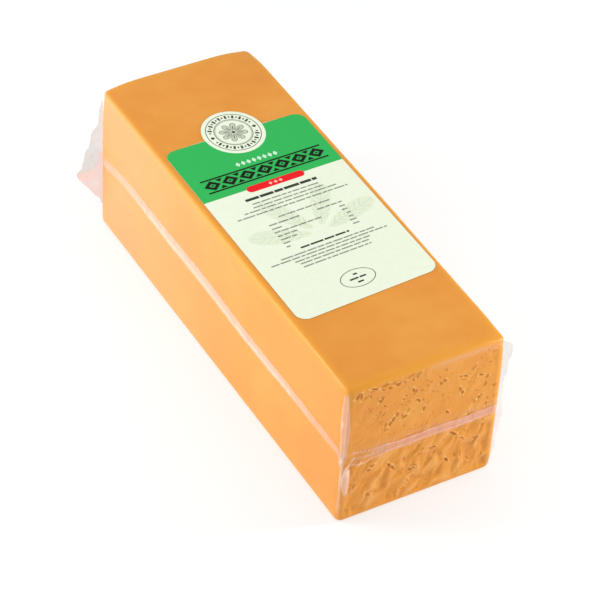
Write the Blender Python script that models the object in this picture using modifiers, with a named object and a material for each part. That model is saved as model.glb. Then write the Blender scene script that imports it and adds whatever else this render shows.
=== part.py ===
# A loaf of red cheddar, vacuum packed in clear film, with a die-cut label on top.
# Metres, +Z up. The origin is the centre of the flat base, and the torn end that shows faces -Y.

import math
import random

import bmesh
import bpy
from mathutils import Euler, Matrix, Vector, noise

# Driving dimensions of the block: an eighth of a 20 kg catering block
WIDTH = 0.094
LENGTH = 0.275
HEIGHT = 0.094

# Radii of the rounded edges
FRONT_EDGE = 0.0042
BACK_EDGE = 0.006
TOP_EDGE = 0.0024
BASE_EDGE = 0.0036
EDGE_STEPS = 4

# Torn curd on the two ends
FRONT_CELLS = 20
BACK_CELLS = 12
CURD_SLANT = math.radians(52)
CURD_LONG = 0.017
CURD_SHORT = 0.0065
CURD_DEEP = 0.0013
CURD_SHALLOW = 0.0005
CURD_BORDER = 0.006
TEAR_WIDTH = 0.0013
TEAR_DEPTH = 0.0016
TEAR_SPACING = 0.0042
FRONT_SCATTER = 26
BACK_SCATTER = 24

# The largest tears of the front end: mm right of centre, mm above the base, mm long, degrees of slant
MAIN_TEARS = (
    (-18.0, 62.0, 9.0, 52), (-11.5, 63.0, 3.6, 32), (-8.0, 79.5, 5.3, -64), (-4.0, 70.0, 3.5, -18),
    (-26.0, 79.0, 3.5, 47), (-37.5, 65.0, 3.4, -10), (-32.5, 56.5, 3.8, 15), (-29.0, 32.5, 5.0, 40),
    (-16.0, 26.5, 3.2, -66), (-13.5, 35.0, 5.0, 0), (-4.0, 21.0, 6.0, 9), (8.0, 33.0, 4.0, 6),
    (12.0, 75.5, 7.6, 15), (21.0, 77.0, 4.3, -31), (32.5, 74.5, 3.5, 18), (22.5, 65.5, 4.2, -55),
    (35.0, 57.0, 3.6, 42), (13.5, 55.5, 5.0, 50), (32.5, 38.0, 4.4, -3), (20.0, 35.0, 7.0, -33),
    (35.0, 24.0, 4.1, 49), (-29.0, 13.5, 2.6, -18),
)
# Row of tears close under the front end's top edge, left of the middle
BRINK_TEARS = 9
BRINK_FROM = -0.041
BRINK_TO = -0.005
BRINK_LEVEL = 0.0872

# Weld seam of the film: a narrow flange pressed flat round the block
TOUCH_GAP = 0.0003
SEAM_HEIGHT_SIDES = 0.0074
SEAM_HEIGHT_ENDS = 0.0064
SEAM_THICKNESS = 0.0006
SEAM_STEP = 0.011
CORNER_STEPS = 6
SEAM_FRONT = 0.0441
SEAM_LEFT = 0.0497
SEAM_BACK = 0.0460
SEAM_RIGHT = 0.0445
SEAM_WAVE = 0.0006

# Ears of film at the corners: height above the base and reach from the block, mm
FILM_THICKNESS = 0.0005
EAR_ROWS = 26
EAR_COLUMNS = 4
BACK_EAR = (
    (15.0, 0.3), (18.1, 0.8), (20.9, 2.6), (23.3, 4.9), (29.6, 9.4), (36.1, 13.7), (39.1, 15.2),
    (41.2, 15.4), (44.0, 14.4), (50.0, 11.9), (55.9, 9.2), (60.4, 7.3), (69.3, 6.0), (73.8, 2.8),
    (79.7, 2.1), (83.1, 1.6), (88.0, 0.3),
)
FRONT_EAR = (
    (3.0, 0.5), (9.6, 2.9), (13.6, 3.4), (19.0, 4.9), (43.0, 4.9), (49.0, 4.6), (61.0, 3.5),
    (64.0, 4.7), (70.0, 6.4), (73.0, 7.5), (80.0, 7.5), (83.4, 5.2), (87.0, 0.4),
)
EAR_WAVE = 0.0013
EAR_SWELL = 4.4
EAR_RIPPLE = 2.1
EAR_INSET = 0.0045

# The front left ear, folded over the rounded edge
FOLD_LOW = 0.013
FOLD_HIGH = 0.091
FOLD_ROWS = 16
FOLD_COLUMNS = 6
FOLD_THICKNESS = 0.0007
FOLD_LIFT = 0.00045

# Label: a rounded rectangle that grows a round seal at its far end
LABEL_LEFT = -0.0429
LABEL_RIGHT = 0.0436
LABEL_NEAR = -0.0799
LABEL_FAR = 0.0695
LABEL_CORNER = 0.0065
LABEL_THICKNESS = 0.0003
SEAL_RADIUS = 0.0184
SEAL_CENTRE = (0.0010, 0.0695)

MM = 0.001


def clear_scene():
    for obj in list(bpy.data.objects):
        bpy.data.objects.remove(obj, do_unlink=True)
    for mesh in list(bpy.data.meshes):
        bpy.data.meshes.remove(mesh)


def new_collection(name):
    collection = bpy.data.collections.new(name)
    bpy.context.scene.collection.children.link(collection)
    return collection


def new_material(name, colour, roughness, alpha=1.0):
    material = bpy.data.materials.new(name)
    material.use_nodes = True
    shader = material.node_tree.nodes["Principled BSDF"]
    shader.inputs["Base Color"].default_value = (*colour, 1.0)
    shader.inputs["Roughness"].default_value = roughness
    shader.inputs["Metallic"].default_value = 0.0
    shader.inputs["Alpha"].default_value = alpha
    material.diffuse_color = (*colour, alpha)
    return material


def object_from(shape, name, collection):
    """Puts a bmesh in a new object."""
    bmesh.ops.recalc_face_normals(shape, faces=shape.faces)
    mesh = bpy.data.meshes.new(name)
    shape.to_mesh(mesh)
    shape.free()
    obj = bpy.data.objects.new(name, mesh)
    collection.objects.link(obj)
    return obj


def as_helper(obj):
    """A helper shapes another object and isn't part of the cheese."""
    obj.hide_render = True
    obj.display_type = "WIRE"


def smooth(obj, angle=35):
    obj.data.shade_smooth()
    obj.data.set_sharp_from_angle(angle=math.radians(angle))


def ramp(value, low, high):
    """Eased step from 0 at low to 1 at high."""
    t = min(max((value - low) / (high - low), 0.0), 1.0)
    return t * t * (3 - 2 * t)


def along(knots, value):
    """Reads a height and reach profile by straight lines between its knots."""
    for (low, first), (high, second) in zip(knots, knots[1:]):
        if value <= high:
            return first + (second - first) * max(value - low, 0.0) / (high - low)
    return knots[-1][1]


# Cheese

def edge_radius(edge):
    """Rounding of a box edge, by where it lies."""
    a, b = (vertex.co for vertex in edge.verts)
    middle = (a + b) / 2
    if abs(a.z - b.z) > HEIGHT / 2:
        return FRONT_EDGE if middle.y < 0 else BACK_EDGE
    return TOP_EDGE if middle.z > HEIGHT / 2 else BASE_EDGE


def plain_block(collection):
    """The box with its twelve edges rounded by bevel weights."""
    shape = bmesh.new()
    place = Matrix.Translation((0, 0, HEIGHT / 2)) @ Matrix.Diagonal((WIDTH, LENGTH, HEIGHT, 1))
    bmesh.ops.create_cube(shape, size=1, matrix=place)
    weights = shape.edges.layers.float.new("bevel_weight_edge")
    widest = max(FRONT_EDGE, BACK_EDGE, TOP_EDGE, BASE_EDGE)
    for edge in shape.edges:
        edge[weights] = edge_radius(edge) / widest
    block = object_from(shape, "plain_block", collection)
    rounding = block.modifiers.new("rounded_edges", "BEVEL")
    rounding.limit_method = "WEIGHT"
    rounding.width = widest
    rounding.segments = EDGE_STEPS
    return block


def curd_depth(across, up, seed):
    """How far the torn end lies behind its plane: slanted ridges, deeper below the seam."""
    run = across * math.cos(CURD_SLANT) + up * math.sin(CURD_SLANT)
    cross = up * math.cos(CURD_SLANT) - across * math.sin(CURD_SLANT)
    wave = noise.noise(Vector((run / CURD_LONG, cross / CURD_SHORT, seed)))
    strength = CURD_DEEP + (CURD_SHALLOW - CURD_DEEP) * ramp(up, SEAM_FRONT - 0.006, SEAM_FRONT + 0.006)
    border = min(WIDTH / 2 - abs(across), up, HEIGHT - up)
    return strength * (0.5 - 0.5 * wave) * ramp(border, 0.0025, CURD_BORDER)


def with_curd(source, facing, cells, seed):
    """Cuts an end face into cells and presses the ridges of the curd into it."""
    shape = bmesh.new()
    shape.from_mesh(source)
    ends = [face for face in shape.faces if face.normal.y * facing > 0.99]
    end = max(ends, key=lambda face: face.calc_area())
    rim = {tuple(vertex.co) for vertex in end.verts}
    bmesh.ops.subdivide_edges(shape, edges=end.edges[:], cuts=cells - 1, use_grid_fill=True)
    for vertex in shape.verts:
        if abs(vertex.co.y - facing * LENGTH / 2) > 1e-6 or tuple(vertex.co) in rim:
            continue
        vertex.co.y -= facing * curd_depth(vertex.co.x, vertex.co.z, seed)
    bmesh.ops.triangulate(shape, faces=shape.faces[:])
    shape.to_mesh(source)
    shape.free()


def add_tear(mesh, across, up, length, slant, facing, depth, collection):
    """One cutter: a long thin grain laid in the end face."""
    tear = bpy.data.objects.new("tear", mesh)
    tear.scale = (length / 2, depth, TEAR_WIDTH / 2)
    tear.rotation_euler = Euler((0, -slant, 0))
    tear.location = (across, facing * LENGTH / 2, up)
    collection.objects.link(tear)
    as_helper(tear)


def scattered(draw, count, taken):
    """Places in the end face, kept apart from each other and from those taken."""
    inset = 0.007
    while count:
        place = Vector((draw.uniform(inset - WIDTH / 2, WIDTH / 2 - inset), draw.uniform(inset, HEIGHT - inset)))
        if all((place - other).length > TEAR_SPACING for other in taken):
            taken.append(place)
            count -= 1
            yield place


def tear_cutters(collection):
    """The grains that cut the tears of both ends."""
    shape = bmesh.new()
    bmesh.ops.create_icosphere(shape, subdivisions=1, radius=1)
    mesh = bpy.data.meshes.new("tear")
    shape.to_mesh(mesh)
    shape.free()
    draw = random.Random(7)
    taken = []
    for across, up, length, slant in MAIN_TEARS:
        run = Vector((math.cos(math.radians(slant)), math.sin(math.radians(slant))))
        middle = Vector((across, up)) * MM
        taken += [middle + run * length * MM * step for step in (-0.4, 0, 0.4)]
        add_tear(mesh, *middle, length * MM, math.radians(slant), -1, TEAR_DEPTH, collection)
    for step in range(BRINK_TEARS):
        across = BRINK_FROM + (BRINK_TO - BRINK_FROM) * step / (BRINK_TEARS - 1) + draw.gauss(0, 0.0008)
        up = BRINK_LEVEL + draw.gauss(0, 0.0012)
        length = draw.uniform(0.002, 0.0044)
        add_tear(mesh, across, up, length, math.radians(draw.uniform(15, 65)), -1, TEAR_DEPTH, collection)
        taken.append(Vector((across, up)))
    for facing, count, others in ((-1, FRONT_SCATTER, taken), (1, BACK_SCATTER, [])):
        for place in scattered(draw, count, others):
            slant = math.radians(draw.gauss(40, 25))
            depth = draw.uniform(0.5, 0.9) * TEAR_DEPTH
            add_tear(mesh, *place, draw.uniform(0.0015, 0.003), slant, facing, depth, collection)


def cheese_block(parts, cutters, graph_of):
    """The cheese in its skin-tight film: a rounded block with torn curd at both ends."""
    plain = plain_block(cutters)
    mesh = bpy.data.meshes.new_from_object(plain.evaluated_get(graph_of()))
    bpy.data.objects.remove(plain)
    with_curd(mesh, -1, FRONT_CELLS, 0.3)
    with_curd(mesh, 1, BACK_CELLS, 4.7)
    mesh.name = "cheese_block"
    block = bpy.data.objects.new("cheese_block", mesh)
    parts.objects.link(block)
    tear_cutters(cutters)
    tears = block.modifiers.new("tears", "BOOLEAN")
    tears.operation = "DIFFERENCE"
    tears.operand_type = "COLLECTION"
    tears.collection = cutters
    tears.solver = "EXACT"
    smooth(block, 28)
    block.data.materials.append(new_material("red_cheddar", (0.76, 0.33, 0.07), 0.38))
    return block


# Film

def corner_centres():
    """Each rounded corner of the plan, anticlockwise from the front right: centre, radius, first angle."""
    for side, end, first in ((1, -1, -90), (1, 1, 0), (-1, 1, 90), (-1, -1, 180)):
        radius = FRONT_EDGE if end < 0 else BACK_EDGE
        centre = Vector((side * (WIDTH / 2 - radius), end * (LENGTH / 2 - radius)))
        yield centre, radius, math.radians(first)


def plan_outline(offset):
    """Points round the block's plan at this distance outside it."""
    arcs = []
    for centre, radius, first in corner_centres():
        angles = [first + math.pi / 2 * step / CORNER_STEPS for step in range(CORNER_STEPS + 1)]
        arcs.append([centre + (radius + offset) * Vector((math.cos(a), math.sin(a))) for a in angles])
    points = []
    for arc, following in zip(arcs, arcs[1:] + arcs[:1]):
        points += arc
        run = following[0] - arc[-1]
        steps = round(run.length / SEAM_STEP)
        points += [arc[-1] + run * step / steps for step in range(1, steps)]
    return points


def seam_level(point):
    """Height of the seam's middle, which is highest on the left side."""
    end = ramp(point.y, -LENGTH / 2, -LENGTH / 2 + 0.010) * (1 - ramp(point.y, LENGTH / 2 - 0.045, LENGTH / 2))
    side = SEAM_LEFT if point.x < 0 else SEAM_RIGHT
    shown = SEAM_FRONT if point.y < 0 else SEAM_BACK
    sway = math.sin(point.y * 71) + math.sin(point.x * 113 + 1)
    return shown + (side - shown) * end + SEAM_WAVE * sway * 0.5


def seam_height(point):
    """The flange is pressed wider along the sides than on the ends."""
    near_end = ramp(abs(point.y), LENGTH / 2 - 0.012, LENGTH / 2)
    return SEAM_HEIGHT_SIDES + (SEAM_HEIGHT_ENDS - SEAM_HEIGHT_SIDES) * near_end


def seam_ring(parts):
    """The flange as a band that runs once round the block."""
    outline = plan_outline(TOUCH_GAP + SEAM_THICKNESS)
    shape = bmesh.new()
    bmesh.ops.create_circle(shape, segments=len(outline), radius=1)
    shape.verts.ensure_lookup_table()
    for vertex, point in zip(shape.verts, outline):
        vertex.co = (point.x, point.y, seam_level(point) - seam_height(point) / 2)
    raised = bmesh.ops.extrude_edge_only(shape, edges=shape.edges[:])
    for item in raised["geom"]:
        if isinstance(item, bmesh.types.BMVert):
            item.co.z += seam_height(item.co)
    ring = object_from(shape, "film_seam", parts)
    wall = ring.modifiers.new("wall", "SOLIDIFY")
    wall.thickness = SEAM_THICKNESS
    wall.offset = -1
    return ring


def film_sheet(name, rows, columns, place, thickness, helpers):
    """A sheet of film: each cell corner is put by place(up, out), both from 0 to 1."""
    shape = bmesh.new()
    bmesh.ops.create_grid(shape, x_segments=columns, y_segments=rows, size=1)
    for vertex in shape.verts:
        vertex.co = place((vertex.co.y + 1) / 2, (vertex.co.x + 1) / 2)
    sheet = object_from(shape, name, helpers)
    wall = sheet.modifiers.new("wall", "SOLIDIFY")
    wall.thickness = thickness
    wall.offset = 0
    as_helper(sheet)
    return sheet


def ear(name, side, end, profile, share, phase, helpers):
    """A fin of film that stands out sideways from an upright edge, with a waving rim."""
    root_x = WIDTH / 2 + TOUCH_GAP + FILM_THICKNESS / 4
    root_y = end * (LENGTH / 2 - EAR_INSET)
    low, high = profile[0][0], profile[-1][0]

    def place(up, out):
        height = low + (high - low) * up
        reach = along(profile, height) * share * out
        rim = math.sin(height / EAR_SWELL + phase) + 0.5 * math.sin(height / EAR_RIPPLE + 2 * phase)
        sway = EAR_WAVE * rim * min(reach / 6, 1.0)
        return Vector((side * (root_x + reach * MM), root_y + sway, height * MM))

    return film_sheet(name, EAR_ROWS, EAR_COLUMNS, place, FILM_THICKNESS, helpers)


def folded_ear(helpers):
    """The ear folded flat over the front left edge, widest a little below the middle."""
    centre, radius, first = list(corner_centres())[3]

    def place(up, out):
        height = FOLD_LOW + (FOLD_HIGH - FOLD_LOW) * up
        spread = 0.16 + 0.84 * ramp(up, 1.0, 0.45) * ramp(up, -0.12, 0.22)
        middle = first + math.radians(45 + 5 * math.sin(height * 55))
        angle = middle + math.radians(84) * spread * (out - 0.5)
        distance = radius + TOUCH_GAP + FOLD_LIFT + FOLD_THICKNESS / 2
        return Vector((*(centre + distance * Vector((math.cos(angle), math.sin(angle)))), height))

    return film_sheet("fold", FOLD_ROWS, FOLD_COLUMNS, place, FOLD_THICKNESS, helpers)


def film_seam(parts, helpers):
    """The film's weld: its flange round the block with an ear at each corner, joined to one piece."""
    ring = seam_ring(parts)
    ear("ear_back_left", -1, 1, BACK_EAR, 1.0, 0.4, helpers)
    ear("ear_back_right", 1, 1, BACK_EAR, 0.9, 2.1, helpers)
    ear("ear_front_right", 1, -1, FRONT_EAR, 1.0, 3.3, helpers)
    folded_ear(helpers)
    joined = ring.modifiers.new("ears", "BOOLEAN")
    joined.operation = "UNION"
    joined.operand_type = "COLLECTION"
    joined.collection = helpers
    joined.solver = "EXACT"
    smooth(ring)
    ring.data.materials.append(new_material("clear_film", (0.95, 0.83, 0.78), 0.2, 0.45))
    return ring


# Label

def arc(centre, radius, first, last, steps):
    """Points of an arc, angles in degrees."""
    for step in range(steps + 1):
        angle = math.radians(first + (last - first) * step / steps)
        yield centre[0] + radius * math.cos(angle), centre[1] + radius * math.sin(angle)


def label_outline():
    """Anticlockwise from the near left corner: four rounded corners, and the seal on the far side."""
    inner_left = LABEL_LEFT + LABEL_CORNER
    inner_right = LABEL_RIGHT - LABEL_CORNER
    inner_near = LABEL_NEAR + LABEL_CORNER
    inner_far = LABEL_FAR - LABEL_CORNER
    meeting = math.degrees(math.asin((LABEL_FAR - SEAL_CENTRE[1]) / SEAL_RADIUS))
    yield from arc((inner_left, inner_near), LABEL_CORNER, 180, 270, 6)
    yield from arc((inner_right, inner_near), LABEL_CORNER, 270, 360, 6)
    yield from arc((inner_right, inner_far), LABEL_CORNER, 0, 90, 6)
    yield from arc(SEAL_CENTRE, SEAL_RADIUS, meeting, 180 - meeting, 28)
    yield from arc((inner_left, inner_far), LABEL_CORNER, 90, 180, 6)


def label(parts):
    """The printed label: one flat die-cut sheet just above the film."""
    outline = bpy.data.curves.new("label", "CURVE")
    outline.dimensions = "2D"
    outline.fill_mode = "BOTH"
    outline.extrude = LABEL_THICKNESS / 2
    points = list(label_outline())
    spline = outline.splines.new("POLY")
    spline.points.add(len(points) - 1)
    for point, (x, y) in zip(spline.points, points):
        point.co = (x, y, 0, 1)
    spline.use_cyclic_u = True
    sheet = bpy.data.objects.new("label", outline)
    sheet.location.z = HEIGHT + TOUCH_GAP + LABEL_THICKNESS / 2
    parts.objects.link(sheet)
    outline.materials.append(new_material("label_paper", (0.87, 0.92, 0.71), 0.5))
    return sheet


def main():
    clear_scene()
    parts = new_collection("cheddar_block")
    cutters = new_collection("tear_cutters")
    helpers = new_collection("film_ears")
    cheese_block(parts, cutters, bpy.context.evaluated_depsgraph_get)
    film_seam(parts, helpers)
    label(parts)


main()
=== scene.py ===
import math
import random

import bmesh
import bpy
from mathutils import Matrix, Vector, noise


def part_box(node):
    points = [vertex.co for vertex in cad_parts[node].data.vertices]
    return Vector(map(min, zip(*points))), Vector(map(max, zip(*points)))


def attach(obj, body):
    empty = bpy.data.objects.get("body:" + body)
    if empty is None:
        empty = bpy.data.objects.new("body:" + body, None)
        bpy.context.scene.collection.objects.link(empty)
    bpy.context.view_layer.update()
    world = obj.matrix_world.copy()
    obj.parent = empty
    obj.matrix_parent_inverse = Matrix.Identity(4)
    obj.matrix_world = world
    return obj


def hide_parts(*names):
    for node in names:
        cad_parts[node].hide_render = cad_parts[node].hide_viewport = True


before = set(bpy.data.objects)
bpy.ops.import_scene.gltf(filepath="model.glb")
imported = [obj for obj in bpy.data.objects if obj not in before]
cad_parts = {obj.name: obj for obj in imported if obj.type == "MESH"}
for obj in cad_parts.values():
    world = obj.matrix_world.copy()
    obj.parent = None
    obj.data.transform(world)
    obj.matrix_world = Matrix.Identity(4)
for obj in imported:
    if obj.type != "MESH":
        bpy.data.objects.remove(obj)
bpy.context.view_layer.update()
mm = 0.001
low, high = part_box("cheese_block")
blockWidth = high[0] - low[0]
blockLength = high[1] - low[1]
blockHeight = high[2] - low[2]
print("frame loaded, block", round(blockWidth, 4), round(blockLength, 4), round(blockHeight, 4))


def deselectAll():
    if bpy.context.mode != "OBJECT":
        bpy.ops.object.mode_set(mode="OBJECT")
    bpy.ops.object.select_all(action="DESELECT")


def makeActive(piece):
    deselectAll()
    piece.select_set(True)
    bpy.context.view_layer.objects.active = piece


def openEdit(piece, kind="FACE"):
    makeActive(piece)
    bpy.ops.object.mode_set(mode="EDIT")
    bpy.ops.mesh.select_mode(type=kind)
    bpy.ops.mesh.select_all(action="DESELECT")


def closeEdit():
    bpy.ops.object.mode_set(mode="OBJECT")


# selects the faces, edges or points that pass the test, and leaves the rest alone
def pick(piece, kind, test):
    bpy.ops.mesh.select_mode(type={"faces": "FACE", "edges": "EDGE", "verts": "VERT"}[kind])
    shape = bmesh.from_edit_mesh(piece.data)
    for item in getattr(shape, kind):
        item.select_set(bool(test(item)))
    shape.select_flush_mode()
    bmesh.update_edit_mesh(piece.data)


def middleOf(edge):
    return (edge.verts[0].co + edge.verts[1].co) / 2


def runOf(edge):
    return edge.verts[0].co - edge.verts[1].co


def applyPlace(piece):
    makeActive(piece)
    bpy.ops.object.transform_apply(location=True, rotation=True, scale=True)


def applyModifiers(piece):
    makeActive(piece)
    for modifier in list(piece.modifiers):
        bpy.ops.object.modifier_apply(modifier=modifier.name)


def smoothBy(piece, degrees):
    makeActive(piece)
    bpy.ops.object.shade_smooth_by_angle(angle=math.radians(degrees))


def nameIt(piece, name):
    piece.name = name
    piece.data.name = name


# 0 before the start, 1 after the end, and a smooth rise between them
def ease(value, start, end):
    t = min(max((value - start) / (end - start), 0.0), 1.0)
    return t * t * (3 - 2 * t)


# the height at this value of a line through the knots
def along(knots, value):
    for (first, a), (second, b) in zip(knots, knots[1:]):
        if value <= second:
            return a + (b - a) * max(value - first, 0.0) / (second - first)
    return knots[-1][1]


# 1 at the middle, fading away on both sides
def near(value, middle, spread):
    return math.exp(-((value - middle) / spread) ** 2)


# an sRGB hex colour as the linear colour that a shader takes
def linear(text):
    values = [int(text[place:place + 2], 16) / 255 for place in (1, 3, 5)]
    return tuple(v / 12.92 if v <= 0.04045 else ((v + 0.055) / 1.055) ** 2.4 for v in values) + (1.0,)


# a new node material, its tree and its shader
def newMaterial(name):
    material = bpy.data.materials.new(name)
    material.use_nodes = True
    return material, material.node_tree, material.node_tree.nodes["Principled BSDF"]


# adds one node with its settings, its socket values and its links
def node(tree, kind, settings=None, **sockets):
    new = tree.nodes.new(kind)
    for key, value in (settings or {}).items():
        setattr(new, key, value)
    for key, value in sockets.items():
        numbered = key[0] == "i" and key[1:].isdigit()
        socket = new.inputs[int(key[1:]) if numbered else key.replace("_", " ")]
        if isinstance(value, bpy.types.NodeSocket):
            tree.links.new(value, socket)
        else:
            socket.default_value = value
    return new


# the value that a mesh holds under this name, point by point
def attributeOf(tree, name):
    return node(tree, "ShaderNodeAttribute", {"attribute_name": name}).outputs["Fac"]


# lays a colour over another, by an amount from 0 to 1
def paintOver(tree, amount, under, colour):
    mix = node(tree, "ShaderNodeMix", {"data_type": "RGBA"}, i0=amount, i6=under, i7=linear(colour))
    return mix.outputs[2]


def rampStops(rampNode, stops):
    elements = rampNode.color_ramp.elements
    while len(elements) < len(stops):
        elements.new(0.5)
    for element, (place, colour) in zip(elements, stops):
        element.position = place
        element.color = colour if len(colour) == 4 else (*colour, 1.0)
    return rampNode


cheeseLook = {
    "edgeFront": 4.2 * mm, "edgeBack": 6.0 * mm, "edgeTop": 2.4 * mm, "edgeBase": 3.6 * mm,
    "filmRoom": 0.12 * mm,      # the cheese stands this far inside its film
    "cells": 50,                # cells across every face
    "tornCells": 5,             # each of them split again on the torn end that shows
    "lengthCells": 60,
    "curdSlant": 60,            # degrees
    "curdLong": 9.5, "curdShort": 4.4,
    "curdDeep": 1.5, "curdShallow": 0.35,   # mm below the seam and above it
    "curdFine": 0.35,           # how strong the small lumps are beside the large ones
    "tearWide": 0.95, "tearDeep": 1.0,      # mm, half the width and the depth of a large tear
    "tearCell": 4,              # mm, tears are looked up in cells of this size
    "brinkTears": 14, "brinkFrom": -42, "brinkTo": -4, "brinkLevel": 87.0,  # a row under the top edge
    "soft": 1.5,                # mm taken off the top corners
    # the pit and low colours are painted shade in tears and hollows, edge is a painted glow on thin edges,
    # flake a painted highlight on crests and lips
    "light": "#E5A445", "body": "#DE8F28", "deep": "#CF7F1C", "pitShade": "#AE6810", "edge": "#E39A1E",
    "paintedHighlight": "#F2BE76", "low": "#CB7E18",
}

# large tears of the end that shows: mm right of the middle, mm up, mm long, degrees
mainTears = (
    (-18, 63, 9, 55), (-12, 62, 3, 30), (-4, 70, 4, -40), (0, 63, 3, 50),
    (10, 77, 4, 30), (22, 76, 5, -20), (22, 66, 5, -60), (33, 73, 3, -20),
    (34, 57, 4, 50), (15, 54, 3, -50), (-26, 80, 4, 50), (-7, 78, 3, -60),
    (-29, 33, 5, 45), (-16, 28, 6, -60), (-3, 21, 5, 10), (8, 31, 5, 5),
    (20, 36, 7, -30), (34, 25, 5, 60), (-29, 14, 3, -50), (18, 18, 3, -40),
)
# smaller tears scattered over both ends: how many, then ranges of length, half width and depth in mm
smallTears = (
    (80, (1.8, 4.2), (0.4, 0.8), (0.3, 0.8)),
    (300, (0.8, 2.0), (0.28, 0.5), (0.25, 0.6)),
)
curdSeed = {-1: 0.3, 1: 4.7}    # the end at the front and the one at the back


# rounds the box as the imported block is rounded, by edge weights and one bevel
def roundedBox(inset):
    bpy.ops.mesh.primitive_cube_add(size=1, location=(0, 0, blockHeight / 2))
    block = bpy.context.object
    block.scale = (blockWidth - 2 * inset, blockLength - 2 * inset, blockHeight - 2 * inset)
    applyPlace(block)
    widest = max(cheeseLook[key] for key in ("edgeFront", "edgeBack", "edgeTop", "edgeBase"))
    groups = (
        ("edgeFront", lambda e: abs(runOf(e).z) > 0.01 and middleOf(e).y < 0),
        ("edgeBack", lambda e: abs(runOf(e).z) > 0.01 and middleOf(e).y > 0),
        ("edgeTop", lambda e: abs(runOf(e).z) < 0.01 and middleOf(e).z > blockHeight / 2),
        ("edgeBase", lambda e: abs(runOf(e).z) < 0.01 and middleOf(e).z < blockHeight / 2),
    )
    openEdit(block, "EDGE")
    for key, test in groups:
        pick(block, "edges", test)
        bpy.ops.transform.edge_bevelweight(value=cheeseLook[key] / widest)
    closeEdit()
    rounding = block.modifiers.new("rounding", "BEVEL")
    rounding.limit_method = "WEIGHT"
    rounding.width = widest - inset
    rounding.segments = 4
    applyModifiers(block)
    return block


# cuts every face between the rounded edges into a grid, ring by ring
def gridCut(block, acrossCells, upCells, lengthCells):
    openEdit(block, "EDGE")
    for axis, cells in ((0, acrossCells), (2, upCells), (1, lengthCells)):
        def straight(edge):
            run = runOf(edge)
            return abs(run[axis]) > 0.02 and abs(run[axis]) > 0.999 * run.length
        pick(block, "edges", straight)
        bpy.ops.mesh.subdivide(number_cuts=cells - 1)
    closeEdit()


# the slanted lumps of the torn curd, taller below the seam: 0 on a crest, 1 in a hollow
def hollowAt(across, up, seed):
    slant = math.radians(cheeseLook["curdSlant"])
    run = across * math.cos(slant) + up * math.sin(slant)
    cross = up * math.cos(slant) - across * math.sin(slant)
    run += 5 * noise.noise(Vector((across * 0.09, up * 0.09, seed + 3)))
    cross += 3.5 * noise.noise(Vector((across * 0.12, up * 0.12, seed + 6)))
    wave = noise.noise(Vector((run / cheeseLook["curdLong"], cross / cheeseLook["curdShort"], seed)))
    wave += cheeseLook["curdFine"] * noise.noise(Vector((run / 6.5, cross / 2.4, seed + 9)))
    return min(max(0.5 - 0.75 * wave, 0), 1.15)


def ridgeDepth(across, up, seed):
    share = ease(up, 36, 50)
    strength = cheeseLook["curdDeep"] * (1 - share) + cheeseLook["curdShallow"] * share
    border = min(blockWidth / mm / 2 - abs(across), up, blockHeight / mm - up)
    return strength * hollowAt(across, up, seed) * ease(border, 1.5, 6.0)


# a tear: a thin slanted pocket with a ragged rim, and the curd beside it pulled up into a lip
def tearAt(across, up, tear):
    x, z, length, slant, wide, deep = tear
    c, s = math.cos(slant), math.sin(slant)
    run = (across - x) * c + (up - z) * s
    side = (up - z) * c - (across - x) * s
    if abs(run) > length * 0.9 or abs(side) > wide * 3.4:
        return 0.0, 0.0
    ragged = 1 + 0.95 * noise.noise(Vector((across * 1.7, up * 1.7, x)))
    reach = math.hypot(run / (length / 2), side / (wide * ragged * (0.8 if side > 0 else 1.2)))
    lip = near(reach, 1.4, 0.32) * (1.0 if side > 0 else 0.35)
    return deep * (1 - ease(reach, 0.25, 1.1)), deep * lip


# a tear is a few ragged pockets in a row, so that crumbs of the curd stay standing between them
def tearsOf(facing):
    draw = random.Random(41 if facing < 0 else 42)
    tears = []

    def addPockets(x, z, length, wide, slant, deep):
        count = max(1, round(length / 2.6))
        for k in range(count):
            shift = (k - (count - 1) / 2) * length / count
            pocketX = x + shift * math.cos(slant) + draw.gauss(0, 0.2)
            pocketZ = z + shift * math.sin(slant) + draw.gauss(0, 0.2)
            tears.append((pocketX, pocketZ,
                          length / count * draw.uniform(1.1, 1.6), slant + draw.gauss(0, 0.3),
                          wide * draw.uniform(0.75, 1.15), deep * draw.uniform(0.7, 1.1)))

    if facing < 0:
        for x, z, length, slant in mainTears:
            addPockets(x, z, length, cheeseLook["tearWide"], math.radians(slant), cheeseLook["tearDeep"])
        first, last, count = cheeseLook["brinkFrom"], cheeseLook["brinkTo"], cheeseLook["brinkTears"]
        for step in range(count):
            x = first + (last - first) * step / (count - 1) + draw.gauss(0, 0.7)
            addPockets(x, cheeseLook["brinkLevel"] + draw.gauss(0, 1.3), draw.uniform(1.2, 5.0),
                       draw.uniform(0.45, 0.95), math.radians(draw.uniform(-10, 80)), draw.uniform(0.5, 1.2))
    half = blockWidth / mm / 2
    for count, longs, wides, deeps in smallTears:
        for _ in range(count):
            x, z = draw.uniform(4 - half, half - 4), draw.uniform(4, blockHeight / mm - 4)
            patchy = noise.noise(Vector((x * 0.075, z * 0.075, 6.0 + facing)))
            pocket = (x, z, draw.uniform(*longs), draw.uniform(*wides),
                      math.radians(draw.gauss(45, 28)), draw.uniform(*deeps))
            if patchy > -0.12:
                addPockets(*pocket)
    return tears


# the four top corners sag, so does the right top edge towards the front, and the front right edge bulges
def softened(point):
    half, end, top = blockWidth / 2, blockLength / 2, blockHeight
    gap = Vector((half - abs(point.x), end - abs(point.y), top - point.z)) / mm
    amount = cheeseLook["soft"] * near(gap.length, 0, 12.0) * mm
    drop = Vector((math.copysign(0.4, point.x), math.copysign(0.5, point.y), 1.0)) * amount
    if point.x > 0:
        drop.z += 1.1 * mm * near(gap.x, 0, 5.0) * near(gap.z, 0, 6.0) * ease(-point.y, 0.0, 0.11)
        drop.x -= 0.9 * mm * near(gap.x, 0, 4.0) * near(point.y, -end, 0.009) * ease(point.z, 0.0, 0.01)
    return point - drop


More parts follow.
